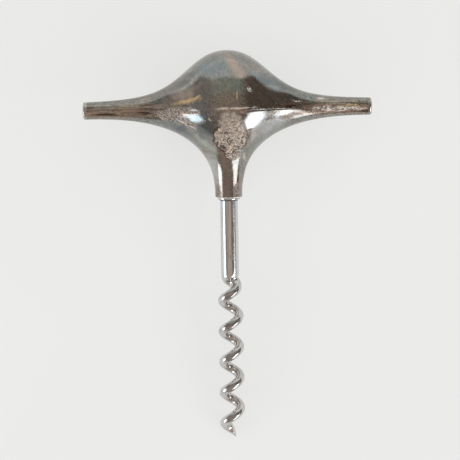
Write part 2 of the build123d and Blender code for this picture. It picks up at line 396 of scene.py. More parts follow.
def neck_grids(sizes):
    """Both halves below the seam, outside and one wall in, with strips at seam, arms' ends and mouth."""
    outer = lower_side(sizes, 0)
    inner = lower_side(sizes, sizes.wall)
    seam = slice(0, ARM_ROWS + 1)
    right = [
        outer,
        inner[:, ::-1],
        np.stack([inner[seam, 0], outer[seam, 0]], axis=1),
        np.stack([outer[seam, -1], inner[seam, -1]], axis=1),
        np.stack([inner[0], outer[0]]),
        np.stack([outer[-1], inner[-1]]),
    ]
    left = [points[:, ::-1] * np.array([-1, 1, 1]) for points in right]
    return [(points, False) for points in right + left]


def quarter(radius, count=7):
    """Quarter round, from flat to upright."""
    angle = np.linspace(0, np.pi / 2, count)
    return radius * np.sin(angle), radius * (1 - np.cos(angle))


def turned(along, radius, axis, columns=64):
    """Profile of lengths and radii carried once round an axis, 0 for x and 1 for y."""
    angle = np.linspace(0, 2 * np.pi, columns, endpoint=False)
    around = [radius[:, None] * np.cos(angle), radius[:, None] * np.sin(angle)]
    length_grid = np.broadcast_to(along[:, None], around[0].shape)
    return np.stack([length_grid, *around] if axis == 0 else [around[0], length_grid, around[1]], axis=-1)


def cap_grids(sizes, side):
    """Disc with a rounded edge and a spigot, its profile turned about the arms' axis."""
    seat, tip = arm_seat(sizes), sizes.arm_diameter / 2
    spigot = tip - sizes.wall - sizes.slip_gap
    face = sizes.cap_thickness
    edge_out, edge_in = quarter(sizes.cap_round)
    along = np.concatenate([[-sizes.spigot_length] * 2, [0, 0], face - sizes.cap_round + edge_out, [face]])
    radius = np.concatenate([[0, spigot, spigot, tip], tip - edge_in, [0]])
    return [(turned(side * (seat + along), radius, 0), True)]


def mouth_grids(handle, steel):
    """Tube with a rounded lip, its closed profile turned about the worm's axis."""
    outside = handle.neck_diameter / 2 - handle.wall - handle.slip_gap
    bore = outside - steel.bush_wall
    lip, round_off = steel.lip_diameter / 2, steel.lip_round
    low = handle.neck_length + steel.lip_height
    edge_down, edge_in = quarter(round_off)
    top, mouth = steel.bush_depth, handle.neck_length
    depth = np.concatenate([[top, top, mouth, mouth], low - round_off + edge_down, [low, top]])
    radius = np.concatenate([[bore, outside, outside, lip], lip - edge_in, [bore, bore]])
    return [(turned(-depth, radius, 1), True)]


def beside_wire(steel, reach, turn, depth, out, under):
    """Points beside a centre line that winds about the worm's axis: out from it, under to its lower side.

    The centre line is the reach from the axis at 2 pi times the turn. Its lower side is at right angles to
    the line and to the spoke from the axis, and leans by the slope of one turn unrolled.
    """
    spoke_x, spoke_z = np.cos(2 * np.pi * turn), np.sin(2 * np.pi * turn)
    around = 2 * np.pi * reach
    long = np.hypot(around, steel.pitch)
    x = spoke_x * (reach + out) + spoke_z * under * steel.pitch / long
    y = -depth - under * around / long
    z = spoke_z * (reach + out) - spoke_x * under * steel.pitch / long
    return np.stack([x, y, z], axis=-1)


def point_cut(steel, first_bend, out, under):
    """Turn at which each line along the wire meets the ground face of the point.

    The face passes through the toe, short of the wire's edge by the land, and leans by the point angle.
    Each line's distance from the face is taken at many turns; its last change of sign is read between two.
    """
    wire = steel.wire_diameter / 2
    reach = steel.worm_diameter / 2 - wire
    toe_out, toe_under = -math.sin(steel.point_turn), math.cos(steel.point_turn)

    def at(turn, out, under):
        return beside_wire(steel, reach, turn, first_bend + steel.pitch * turn, out, under)

    end = np.array(steel.turns)
    toe = at(end, toe_out, toe_under) - at(end, 0, 0)
    along = np.cross(at(end, 1, 0) - at(end, 0, 0), at(end, 0, 1) - at(end, 0, 0))
    along *= -np.sign(along[1])
    away = along * math.sin(steel.point_angle) - toe * math.cos(steel.point_angle)
    corner = at(end, 0, 0) + toe * (wire - steel.point_land)
    turns = np.linspace(steel.turns - CUT_TURN, steel.turns, CUT_ROWS)
    past = (at(turns[:, None], out, under) - corner) @ away
    before = (len(turns) - 1 - np.argmin(past[::-1] > 0, axis=0)).clip(0, len(turns) - 2)
    column = np.arange(past.shape[1])
    low, high = past[before, column], past[before + 1, column]
    between = np.where(past[-1] > 0, low / np.where(high == low, 1, low - high), 1).clip(0, 1)
    return np.where(past[-1] > 0, turns[before] + between * (turns[1] - turns[0]), steel.turns)


def bar_rings(handle, steel):
    """Depths and radii of the rings down the tang and the shank."""
    tang = handle.neck_diameter / 2 - handle.wall - 2 * handle.slip_gap - steel.bush_wall
    shank, bevel = steel.shank_diameter / 2, steel.shank_bevel
    shoulder = handle.neck_length + steel.lip_height
    straight = np.linspace(shoulder + bevel, shoulder + steel.shank_length, SHANK_ROWS)[:-1]
    depth = [steel.tang_depth] * 2 + [steel.bush_depth] * 2 + [shoulder] * 2
    radius = [0] + [tang] * 4 + [shank - bevel]
    return np.append(depth, straight), np.append(radius, np.full(len(straight), shank))


def worm_grids(handle, steel):
    """Rings carried down the tang and shank, over the drawn root and along a right-hand helix to the point.

    Round the helix the ring's centre is the worm's radius from the axis, and sinks by the pitch each turn.
    At the root, radius and lean ease in with 3 s s - 2 s s s. The last length ends on the ground face.
    The grain is each point's place on the unwound wire, in millimetres.
    """
    shank, wire = steel.shank_diameter / 2, steel.wire_diameter / 2
    winding = steel.worm_diameter / 2 - wire
    shank_end = handle.neck_length + steel.lip_height + steel.shank_length
    first_bend = shank_end + steel.root_lead * steel.pitch
    angle = np.linspace(0, 2 * np.pi, WIRE_COLUMNS, endpoint=False)
    cosine, sine = np.cos(angle), np.sin(angle)

    bar_depth, bar_radius = bar_rings(handle, steel)
    step = np.linspace(0, 1, ROOT_ROWS)
    ease = step * step * (3 - 2 * step)
    root = steel.root_turns * step - steel.root_lead
    cut = point_cut(steel, first_bend, wire * cosine, wire * sine)
    last = cut.min() - wire / math.hypot(2 * math.pi * winding, steel.pitch)
    wound = np.linspace(root[-1], last, WORM_ROWS)[1:]
    tip = last + (cut - last) * np.linspace(0, 1, POINT_ROWS)[1:, None]
    face_middle = np.repeat(point_cut(steel, first_bend, np.zeros(1), np.zeros(1)), WIRE_COLUMNS)

    turn = np.concatenate([np.full(len(bar_depth), root[0]), root, wound])
    turn = np.concatenate([np.repeat(turn[:, None], WIRE_COLUMNS, axis=1), tip, face_middle[None]])
    depth = first_bend + steel.pitch * turn
    depth[:len(bar_depth)] = bar_depth[:, None]
    full = len(wound) + len(tip)
    lean = np.concatenate([0 * bar_depth, ease, np.ones(full + 1)])[:, None]
    radius = np.concatenate([bar_radius, shank + (wire - shank) * ease, np.full(full, wire), [0]])[:, None]
    points = beside_wire(steel, winding * lean, turn, depth, radius * cosine, radius * sine)
    flat = bar_radius[1] * steel.tang_flat
    points[:TANG_ROWS, :, 0] = points[:TANG_ROWS, :, 0].clip(-flat, flat)

    along = 2 * np.pi * winding * lean * np.diff(turn[:, :1], axis=0, prepend=turn[0, 0])
    run = np.cumsum(np.hypot(np.diff(depth[:, :1], axis=0, prepend=0), along))[:, None]
    grain = np.stack(np.broadcast_arrays(shank * cosine, shank * sine, run), axis=-1)
    return [(points, True)], grain / MILLIMETRE


# Finishes, their places in the tool's frame in millimetres


class Value:
    """Output of a node that takes part in sums; of two values, | keeps the larger and & the smaller."""

    def __init__(self, socket):
        self.socket = socket
        self.tree = socket.id_data

    def work(self, operation, a, b=0.0):
        """Result of a math node in the same tree."""
        return add(self.tree, "ShaderNodeMath", {0: a, 1: b}, operation=operation)

    def __add__(self, other):
        return self.work("ADD", self, other)

    def __sub__(self, other):
        return self.work("SUBTRACT", self, other)

    def __rsub__(self, other):
        return self.work("SUBTRACT", other, self)

    def __mul__(self, other):
        return self.work("MULTIPLY", self, other)

    def __truediv__(self, other):
        return self.work("DIVIDE", self, other)

    def __or__(self, other):
        return self.work("MAXIMUM", self, other)

    def __and__(self, other):
        return self.work("MINIMUM", self, other)

    def __abs__(self):
        return self.work("ABSOLUTE", self)


def feed(node, inputs):
    """Gives a node its inputs, each a plain value or the output of another node."""
    for key, value in inputs.items():
        if isinstance(value, Value):
            node.id_data.links.new(value.socket, node.inputs[key])
        else:
            node.inputs[key].default_value = value


def put(tree, kind, inputs=None, **settings):
    """Adds a node after those that are there, row by row."""
    row, column = divmod(len(tree.nodes), NODE_COLUMNS)
    node = tree.nodes.new(kind)
    node.location = (NODE_WIDTH * column, -NODE_HEIGHT * row)
    for key, value in settings.items():
        setattr(node, key, value)
    feed(node, inputs or {})
    return node


def add(tree, kind, inputs=None, output=0, **settings):
    """Adds a node and gives one of its outputs."""
    return Value(put(tree, kind, inputs, **settings).outputs[output])


def ramp(value, low, high, start=0.0, end=1.0):
    """Value eased from start to end as it goes from low to high."""
    inputs = {"Value": value, "From Min": low, "From Max": high, "To Min": start, "To Max": end}
    return add(value.tree, "ShaderNodeMapRange", inputs, interpolation_type="SMOOTHSTEP")


def noise(vector, scale, detail=3.0, rough=0.55, distort=0.0):
    """Soft noise about a half."""
    inputs = {"Vector": vector, "Scale": scale, "Detail": detail, "Roughness": rough, "Distortion": distort}
    return add(vector.tree, "ShaderNodeTexNoise", inputs)


def stretched(vector, scale, turn=(0, 0, 0)):
    """Vector scaled and turned for a pattern that runs one way."""
    return add(vector.tree, "ShaderNodeMapping", {"Vector": vector, "Scale": scale, "Rotation": turn})


def shifted(vector, by):
    """Vector moved, for a pattern that differs from the one in place."""
    return add(vector.tree, "ShaderNodeVectorMath", {0: vector, 1: by}, operation="ADD")


def distance(vector):
    """Length of a vector."""
    return add(vector.tree, "ShaderNodeVectorMath", {0: vector}, "Value", operation="LENGTH")


def parts(vector):
    """The three numbers of a vector."""
    return [Value(socket) for socket in put(vector.tree, "ShaderNodeSeparateXYZ", {0: vector}).outputs]


def tinted(base, tint, amount, how="MIX"):
    """Base colour with a tint over it, as far as the amount goes."""
    tree = next(part.tree for part in (base, tint, amount) if isinstance(part, Value))
    return add(tree, "ShaderNodeMix", {0: amount, 6: base, 7: tint}, 2, data_type="RGBA", blend_type=how)


def layered(shade, *layers):
    """Shade with tints laid over it in turn, each with its amount."""
    for tint, amount in layers:
        shade = tinted(shade, tint, amount)
    return shade


def new_group(name, inputs, outputs):
    """Empty node group that takes a vector and other inputs; gives their values and the output node."""
    tree = bpy.data.node_groups.new(name, "ShaderNodeTree")
    for label, default in {"Vector": (0, 0, 0), **inputs}.items():
        kind = {1: "Float", 3: "Vector", 4: "Color"}[np.size(default)]
        socket = tree.interface.new_socket(label, in_out="INPUT", socket_type=f"NodeSocket{kind}")
        socket.default_value = default
    for label, kind in outputs.items():
        tree.interface.new_socket(label, in_out="OUTPUT", socket_type=f"NodeSocket{kind}")
    given = {socket.name: Value(socket) for socket in put(tree, "NodeGroupInput").outputs}
    return given, put(tree, "NodeGroupOutput")


def use(group, vector, **inputs):
    """Places a node group and gives its outputs; an underscore in an input's name stands for a space."""
    named = {key.replace("_", " "): value for key, value in inputs.items()}
    named["Vector"] = vector
    node = put(vector.tree, "ShaderNodeGroup", named, node_tree=bpy.data.node_groups[group])
    return {socket.name: Value(socket) for socket in node.outputs}


def make_soft_mark():
    """Oval mark: 1 inside, 0 outside, with a ragged edge."""
    inputs = {"Centre": (0, 0, 0), "Half Size": (1, 1, 1), "Turn": 0.0}
    inputs.update({"Softness": 0.4, "Ragged": 0.2, "Grain": 0.6})
    given, out = new_group("soft_mark", inputs, {"Mask": "Float"})
    vector = given["Vector"]
    turn = add(vector.tree, "ShaderNodeCombineXYZ", {"Z": given["Turn"]})
    oval = {"Vector": vector, "Location": given["Centre"], "Rotation": turn, "Scale": given["Half Size"]}
    local = add(vector.tree, "ShaderNodeMapping", oval, vector_type="TEXTURE")
    wobble = noise(vector, given["Grain"], 4, 0.6) - 0.5
    away = distance(local) + wobble * (given["Ragged"] * 4.0)
    feed(out, {"Mask": ramp(away, 1.0, 1.0 - given["Softness"])})


def make_tarnish():
    """Film on old plate: clouds of grey, teal, rose and brown, fine mottle and specks, and uneven gloss."""
    inputs = {name: (0.2, 0.2, 0.2, 1) for name in ("Grey", "Teal", "Rose", "Brown")}
    inputs.update({"Teal Share": 0.5, "Rose Share": 0.3, "Brown Share": 0.3})
    outputs = {"Colour": "Color", "Roughness": "Float", "Height": "Float"}
    given, out = new_group("tarnish", inputs, outputs)
    vector = given["Vector"]
    moved = shifted(vector, (31, 17, 5))
    cloud = noise(vector, 0.11, 5, 0.6, 0.6)
    drift = noise(moved, 0.16, 5, 0.62, 0.8)
    mottle = noise(vector, 1.1, 6, 0.75)
    speck = noise(moved, 3.4, 4, 0.65)
    film = layered(
        given["Grey"],
        (given["Teal"], ramp(cloud, 0.44, 0.66) * given["Teal Share"]),
        (given["Rose"], ramp(drift, 0.46, 0.66) * given["Rose Share"]),
        (given["Brown"], ramp(cloud, 0.54, 0.36) * given["Brown Share"]),
    )
    light = ramp(mottle, 0.3, 0.7, 0.74, 1.2) * ramp(speck, 0.3, 0.55, 0.76, 1.06)
    gloss = ramp(mottle, 0.35, 0.75, 0.08, 0.18)
    film = tinted(film, light, 1.0, "MULTIPLY")
    feed(out, {"Colour": film, "Roughness": gloss, "Height": speck * 0.25 + mottle})


def make_hairlines():
    """Fine scratches: noise drawn out fiftyfold in two slanting directions, and only its thin crests."""
    given, out = new_group("hairlines", {"Turn": 0.0, "Density": 0.5}, {"Mask": "Float"})
    vector = given["Vector"]
    lines = []
    for slant in (0.0, 0.7):
        turn = add(vector.tree, "ShaderNodeCombineXYZ", {"Z": given["Turn"] + slant})
        drawn = stretched(stretched(vector, (1, 1, 1), turn), (0.08, 4, 0.5))
        lines.append(ramp(abs(noise(drawn, 1.0, 2, 0.5, 0.15) - 0.5), 0.012, 0.002))
    patchy = ramp(noise(vector, 0.35, 2), 0.45, 0.6)
    feed(out, {"Mask": (lines[0] | lines[1]) * (patchy * given["Density"])})


def make_grains():
    """Sandy film: pale and dark grains half a millimetre across, from the crests of two soft noises."""
    given, out = new_group("grains", {"Amount": 1.0, "Draw": (1, 1, 1)}, {"Pale": "Float", "Dark": "Float"})
    drawn = stretched(given["Vector"], given["Draw"])
    pale = ramp(noise(drawn, 1.9, 2, 0.6, 0.4), 0.55, 0.67)
    dark = ramp(noise(shifted(drawn, (11, 23, 7)), 1.5, 2, 0.6, 0.4), 0.52, 0.64)
    feed(out, {"Pale": pale * given["Amount"], "Dark": dark * given["Amount"]})


def make_seam_wear():
    """Rubbed line along the seam, broken into blobs, a reach to either side of its middle."""
    given, out = new_group("seam_wear", {"Half Width": 0.3, "Middle": 3.0, "Reach": 6.0}, {"Mask": "Float"})
    x, y, _ = parts(given["Vector"])
    broken = noise(stretched(given["Vector"], (0.45, 1.2, 0.4)), 1, 4, 0.65)
    width = given["Half Width"] * ramp(broken, 0.38, 0.66, 0.1, 1.7)
    line = ramp(abs(y) / width, 1.0, 0.4)
    feed(out, {"Mask": line * ramp(abs(x - given["Middle"]) / given["Reach"], 1.3, 0.7)})


def make_arm_streaks():
    """Streaks along the arms: brown film, black lines and broken pale lines, fading towards the bulge."""
    given, out = new_group("arm_streaks", {}, {"Brown": "Float", "Dark": "Float", "Pale": "Float"})
    vector = given["Vector"]
    moved = shifted(vector, (5, 9, 3))
    x, y, _ = parts(vector)
    level = ramp(abs(x), 12.0, 25.0) * ramp(abs(y), 2.6, 1.5)
    brown = noise(stretched(vector, (0.08, 1, 0.7)), 0.8, 4, 0.6, 0.3)
    dark = noise(stretched(moved, (0.05, 1.3, 0.5)), 1, 3, 0.6, 0.25)
    pale = noise(stretched(vector, (0.09, 1.6, 0.6)), 1, 3, 0.6, 0.25)
    crumb = noise(stretched(moved, (0.9, 1.6, 1.2)), 1.5, 2, 0.6)
    pale = ramp(pale, 0.44, 0.56) * ramp(crumb, 0.42, 0.6, 0.3, 1.0)
    feed(out, {"Brown": level * ramp(brown, 0.40, 0.55), "Dark": level * ramp(dark, 0.50, 0.58)})
    feed(out, {"Pale": level * pale})


def make_groups():
    """Effects that more than one finish uses, built once."""
    if "soft_mark" not in bpy.data.node_groups:
        make_soft_mark()
        make_tarnish()
        make_hairlines()
        make_grains()
        make_seam_wear()
        make_arm_streaks()


def new_finish(name, metallic=1.0):
    """Empty material and its shader."""
    make_groups()
    material = bpy.data.materials.new(name)
    material.use_nodes = True
    tree = material.node_tree
    tree.nodes.clear()
    shader = put(tree, "ShaderNodeBsdfPrincipled", {"Metallic": metallic})
    put(tree, "ShaderNodeOutputMaterial", {"Surface": Value(shader.outputs[0])})
    return material, shader


def tool_millimetres(shader):
    """Object coordinates turned into the tool's own frame, in millimetres."""
    crossing, lean = tool_frame()
    place = add(shader.id_data, "ShaderNodeTexCoord", output="Object")
    inputs = {"Vector": place, "Location": crossing, "Rotation": (lean, 0, 0), "Scale": (MILLIMETRE,) * 3}
    return add(shader.id_data, "ShaderNodeMapping", inputs, vector_type="TEXTURE")


def set_bump(shader, height, strength, depth):
    """Height into the shader's normal."""
    inputs = {"Height": height, "Strength": strength, "Distance": depth}
    feed(shader, {"Normal": add(shader.id_data, "ShaderNodeBump", inputs)})


def marks(place, *spots):
    """Soft marks on the front, joined.

    A spot is its centre, its half size, its turn in degrees, and its edge's softness, raggedness and grain.
    """
    mask = None
    for centre, half_size, turn, softness, ragged, grain in spots:
        spot = use(
            "soft_mark", place, Centre=centre, Half_Size=half_size, Turn=math.radians(turn),
            Softness=softness, Ragged=ragged, Grain=grain,
        )["Mask"]
        mask = mask | spot if mask else spot
    return mask


def tarnish(place, finish, teal, rose, brown, **colours):
    """Clouded film with these shares of its tints, in the plate's colours unless others are given."""
    film = {name: getattr(finish, f"film_{name.lower()}") for name in ("Grey", "Teal", "Rose", "Brown")}
    film.update(colours)
    return use("tarnish", place, Teal_Share=teal, Rose_Share=rose, Brown_Share=brown, **film)


def hairlines(place, turn, density):
    """Mask of fine scratches."""
    return use("hairlines", place, Turn=turn, Density=density)["Mask"]


def streaked(place, shade, finish, amount):
    """Sandy grains near the seam and streaks along the arms; gives the shade, the grains and the crumbs."""
    near = ramp(abs(parts(place)[1]), 8.5, 2.0) * ramp(noise(place, 0.2, 3), 0.35, 0.6, 0.45, 1.0) * amount
    sand = use("grains", place, Amount=near, Draw=(0.8, 1.2, 1.0))
    streaks = use("arm_streaks", place)
    # Near-black lines along the front of both arms: brown-black film with a painted dark reflection of the
    # room.
    black_film_and_reflection = marks(
        place,
        ((-42, -1.35, 2.6), (9.5, 0.5, 2.2), 0, 0.7, 0.4, 0.5),
        ((46, -1.2, 2.6), (6, 0.45, 2.2), 0, 0.7, 0.4, 0.5),
    )
    sparkle = ramp(noise(stretched(place, (0.8, 1.5, 1.2)), 1.3, 3, 0.65), 0.45, 0.56, 0.15, 1)
    crumbs = marks(place, ((37, -0.4, 2.8), (15, 1.4, 3.2), 0, 0.6, 0.25, 0.5)) * sparkle
    shade = layered(
        shade,
        (finish.crust_dark, sand["Dark"] * 0.7),
        (finish.film_rose, sand["Pale"] * 0.5),
        (finish.film_brown, streaks["Brown"] * 0.7),
        (finish.crust_dark, (streaks["Dark"] | black_film_and_reflection) * 0.92),
        (finish.crust_pale, streaks["Pale"] * 0.85),
        (finish.worn_silver, crumbs),
    )
    return shade, sand["Pale"], crumbs


def deposit(place, finish):
    """Matte brown crumbs drawn out along the arms, which end the highlights."""
    crumbs = noise(stretched(place, (0.7, 1.3, 0.9)), 2, 3, 0.7, 0.3)
    return tinted(finish.crust_dark, finish.film_rose, ramp(crumbs, 0.4, 0.66))


def seam_strip(place):
    """Mask of the strip along the seam in front."""
    return marks(place, ((2.4, 0.1, 16), (7.6, 1.5, 8), 0, 0.5, 0.2, 0.9))


def seam_rust(place, shade, strip, finish):
    """Strip in brown and pink, its upper edge rubbed to bright blobs; gives the shade and the blobs."""
    tint = ramp(noise(stretched(place, (0.5, 1.4, 0.8)), 1.2, 5, 0.7), 0.32, 0.58)
    rust = tinted(finish.film_brown, finish.film_rose, tint)
    upper_edge = shifted(place, (0, -0.85, 0))
    wear = use("seam_wear", upper_edge, Half_Width=0.55, Middle=3.2, Reach=6.6)["Mask"] * 0.62
    return layered(shade, (rust, strip * 0.85), (finish.worn_silver, wear)), wear


def dome_finish(finish):
    """Tarnished dome: teal cloud and rose streak on the crown, rubbed seam, scratches down to the brass,
    painted shade on both flanks, a painted sheen on the left and a painted glint on the right arm.
    """
    material, shader = new_finish("tarnished_dome")
    place = tool_millimetres(shader)
    film = tarnish(place, finish, 0.35, 0.35, 0.2)
    shade, sand, crumbs = streaked(place, film["Colour"], finish, 0.9)
    teal = marks(
        place,
        ((-4.5, 14.2, 9), (8, 3.6, 14), 14, 0.8, 0.35, 0.22),
        ((14, 9, 9), (8.5, 3, 12), -36, 0.8, 0.3, 0.25),
    )
    deep = marks(
        place,
        ((12.3, 9.7, 9), (5.6, 1.9, 12), -36, 0.8, 0.3, 0.4),
        ((-13.5, 10.6, 6), (6.5, 1.6, 9), 40, 0.8, 0.3, 0.4),
    )
    # Painted shade: the outer flanks of the dome, left and right, darkened with brown and deep film.
    left = marks(place, ((-19, 8.4, 4), (10, 3.6, 9), 32, 0.8, 0.25, 0.4))
    right = marks(place, ((19.5, 8.2, 4), (10, 3.6, 9), -32, 0.8, 0.25, 0.4))
    rose = marks(
        place,
        ((2.6, 15.2, 9), (6.4, 2.3, 14), -52, 0.8, 0.35, 0.35),
        ((4.8, 12.8, 11), (3, 2.6, 10), -60, 0.8, 0.3, 0.4),
    )
    # Pink film on the left of the dark band, made partly matte: a painted pale sheen there.
    pink_film_and_sheen = marks(place, ((-15, 5.6, 10), (7.5, 2.6, 9), 16, 0.8, 0.4, 0.4))
    thick = marks(place, ((-16.8, 0.3, 9), (8.6, 1.5, 9), 0, 0.8, 0.25, 0.5))
    brass = marks(
        place,
        ((-14.2, 3.2, 12), (8.6, 1.4, 10), 12, 0.9, 0.35, 0.5),
        ((-10.4, 4.5, 13), (2.4, 0.7, 9), 38, 0.9, 0.3, 0.6),
        ((3.4, 5.2, 15), (0.35, 2.1, 6), 0, 0.9, 0.4, 1.2),
        ((43, 0.8, 3), (4.2, 0.45, 4), -1, 0.9, 0.5, 1.2),
    ) * 0.8
    # Painted glint: a pale matte spot on the right arm that stands for a lamp's glint.
    painted_glint = marks(place, ((32.4, 3.1, 1.8), (2.2, 0.45, 3.5), -5, 0.8, 0.2, 0.9))
    shade = layered(
        shade,
        (finish.film_teal, teal * 0.75),
        (finish.film_deep, deep * 0.6),
        (finish.film_brown, left * 0.5),
        (finish.film_deep, left * 0.4 + right * 0.6),
        (finish.film_rose, rose * 0.85),
        (finish.film_rose, pink_film_and_sheen * 0.75),
        (deposit(place, finish), thick),
        (finish.brass, brass),
    )
    shade, wear = seam_rust(place, shade, seam_strip(place), finish)
    shade = tinted(shade, finish.worn_silver, hairlines(place, 0.35, 0.9) * 0.6 | painted_glint)
    bare = brass | thick | painted_glint | crumbs | pink_film_and_sheen * 0.4 | wear
    dull = film["Roughness"] * 0.55 + thick * 0.45 + sand * 0.25
    feed(shader, {"Base Color": shade, "Metallic": 1.0 - bare * MATTE, "Roughness": dull})
    set_bump(shader, film["Height"], 0.07, 0.4 * MILLIMETRE)
    return material


def pear(place, grow):
    """Corroded patch in three ovals: throat at the seam, belly and tail."""
    return marks(
        place,
        ((1.1, -9.6, 13.5), (6.1 * grow, 5.6 * grow, 10), 0, 0.12, 0.13, 0.7),
        ((0.9, -3.6, 16), (4.9 * grow, 4.4 * grow, 9), 0, 0.4, 0.2, 0.8),
        ((1.4, -15, 9), (2.6 * grow, 2.7 * grow, 7), 0, 0.2, 0.2, 0.9),
    )


def crusted(place, finish):
    """Pale ridges round dark pits, deeper towards the tail; gives the colour and the height."""
    y = parts(place)[1]
    notch = marks(place, ((-1.7, -12.9, 12), (2, 1, 5), -38, 0.5, 0.3, 0.9))
    net = abs(noise(place, 0.68, 2, 0.5, 1.6) - 0.5)
    deep = ramp(noise(shifted(place, (7, 3, 1)), 0.3, 2) + y * -0.03, 0.56, 0.85, 0.3, 1)
    pits = ramp(net, 0.045, 0.095) * deep | notch
    ridge = ramp(net, 0.06, 0.015) * (1.0 - notch)
    fade = ramp(y, -7.5, -1.5, 1.0, 0.5)
    crust = layered(
        finish.crust,
        (finish.film_brown, ramp(noise(place, 0.45, 4, 0.65), 0.35, 0.7) * 0.5),
        (finish.crust_dark, pits * 0.92),
        (finish.crust_pale, ridge * (fade * 0.85)),
    )
    return crust, ridge - pits * 1.5


def thick_film(place):
    """Mask of the matte deposits that end the highlights on breast and neck."""
    thick = marks(
        place,
        ((-19.7, -1.6, 8), (5.8, 2.7, 8), 0, 0.35, 0.2, 0.6),
        ((-14.2, -4.7, 10), (4.6, 1.1, 8), -17, 0.5, 0.12, 0.7),
        ((5.3, -23, 1), (1, 4.5, 4), 0, 0.9, 0.15, 0.7),
        ((-13, -0.3, 12), (5, 1, 8), 0, 0.4, 0.1, 0.7),
        ((20.4, -3, 8), (5, 1.4, 8), 4, 0.8, 0.2, 0.7),
        ((6.6, -8, 13), (3.2, 1.3, 6), 38, 0.4, 0.15, 0.7),
        ((2.6, -29, 3), (1.5, 4.2, 5), 0, 0.5, 0.1, 0.7),
    )
    taper = marks(
        place,
        ((-3.5, -30, 2.5), (1.8, 6, 4), 0, 0.8, 0.12, 0.7),
        ((-14.6, -3.1, 11), (3, 1.2, 8), -8, 0.7, 0.12, 0.7),
        ((23.5, -1.9, 6), (4.5, 1.1, 7), 2, 0.8, 0.15, 0.7),
    )
    return (thick | taper * 0.8) * ramp(noise(place, 1.3, 3, 0.6), 0.3, 0.6, 0.8, 1.0)


def breast_film(place, shade, thick, finish):
    """Films and scratches on breast and neck, round the patch, and a painted highlight at the top of the
    right neck streak; gives the shade and what is bare of silver.
    """
    green = marks(place, ((-8.2, -11.2, 9), (7, 1.5, 9), -40, 0.7, 0.25, 0.5))
    silver = marks(
        place,
        ((15, -5.2, 8), (13, 3.4, 14), 28, 0.8, 0.25, 0.3),
        ((-5.2, -20, 3), (3, 8, 9), 14, 0.8, 0.25, 0.4),
    )
    bloom = marks(place, ((-7.5, -5.5, 13), (6, 6.5, 11), 25, 0.7, 0.3, 0.35))
    mottled = marks(place, ((0.2, -24.5, 4.5), (2.4, 8.5, 4), 0, 0.5, 0.2, 0.7))
    dusk = marks(place, ((-16.5, -6.8, 5), (9, 2.3, 9), -31, 0.8, 0.2, 0.5))
    blue = marks(place, ((-17, -6.6, 7), (4.5, 1.8, 8), 18, 0.7, 0.3, 0.5))
    clean = marks(place, ((9.5, -3.6, 14), (5.5, 4.2, 9), 35, 0.5, 0.15, 0.7))
    bluish = marks(place, ((-11.8, -2.6, 13), (5.2, 1.9, 8), 10, 0.5, 0.15, 0.7))
    dim = marks(
        place,
        ((-13.2, -0.75, 13), (6, 0.9, 8), 2, 0.5, 0.2, 0.8),
        ((5.6, -22, 0.5), (1.6, 5, 4), 0, 0.7, 0.2, 0.6),
    )
    # Tan streak right of the patch, and below it a painted highlight at the top of the right neck streak,
    # both matte pink.
    tan_and_highlight = marks(
        place,
        ((8.8, -9.8, 11), (1.2, 3, 6), -14, 0.9, 0.4, 0.7),
        ((5.5, -16.4, 5), (1, 3.2, 6), 12, 0.9, 0.2, 0.7),
    )
    scratch = marks(
        place,
        ((-15.8, -3.9, 10), (2.8, 0.3, 6), -22, 0.8, 0.3, 0.8),
        ((-12, -5.8, 11), (2.4, 0.25, 6), -30, 0.8, 0.3, 0.8),
        ((-14.2, -5, 10), (2, 0.2, 6), -50, 0.8, 0.3, 0.8),
    )
    brass = marks(place, ((-6.1, -3, 15), (0.3, 0.95, 4), 30, 0.6, 0.3, 1.2))
    sheen = ramp(noise(place, 0.45, 3, 0.6, 0.8), 0.42, 0.6)
    soil = deposit(place, finish)
    shade = layered(
        shade,
        (finish.film_plum, ramp(parts(place)[1], -17.0, -27.0) * 0.7),
        (finish.film_green, green * 0.7),
        (tinted(finish.film_silver, finish.film_rose, sheen * 0.4), silver * 0.8),
        (finish.film_deep, bloom * 0.85),
        (soil, mottled * 0.4),
        (finish.film_deep, dusk * 0.7),
        (finish.film_deep, blue * 0.75),
        (finish.film_silver, clean * 0.7),
        (finish.film_teal, bluish * 0.9),
        (finish.film_brown, dim * 0.7),
        (finish.film_rose, tan_and_highlight * 0.8),
        (soil, thick),
        (finish.worn_silver, scratch * 0.8),
        (finish.brass, brass * 0.8),
    )
    return shade, brass | scratch | thick | tan_and_highlight * 0.9


def neck_finish(finish):
    """Tarnished breast and neck: a corroded patch in front, dark film round it, rubbed seam and mouth."""
    material, shader = new_finish("tarnished_neck")
    place = tool_millimetres(shader)
    film = tarnish(place, finish, 0.3, 0.3, 0.4)
    shade, sand, crumbs = streaked(place, film["Colour"], finish, 1.0)
    thick = thick_film(place)
    shade, bare = breast_film(place, shade, thick, finish)
    strip = seam_strip(place)
    shade, wear = seam_rust(place, shade, strip, finish)
    mouth = ramp(parts(place)[1], -30.6, -30.9)
    patch = pear(place, 1.0)
    groove = marks(place, ((5.7, -5.2, 13), (4.6, 0.85, 8), -74, 0.7, 0.2, 0.6))
    crust, crumb = crusted(place, finish)
    shade = layered(
        shade,
        (finish.worn_silver, hairlines(place, 0.5, 0.9) * 0.55 | mouth),
        (finish.crust_dark, (pear(place, 1.13) | groove) * 0.75),
        (crust, patch),
    )
    bare = bare | groove | patch | wear | crumbs
    dull = film["Roughness"] + (patch | thick | strip * 0.5) * 0.45 + sand * 0.2
    feed(shader, {"Base Color": shade, "Metallic": 1.0 - bare * MATTE, "Roughness": dull})
    set_bump(shader, film["Height"] + crumb * patch * 3.0, 0.08, 0.4 * MILLIMETRE)
    return material


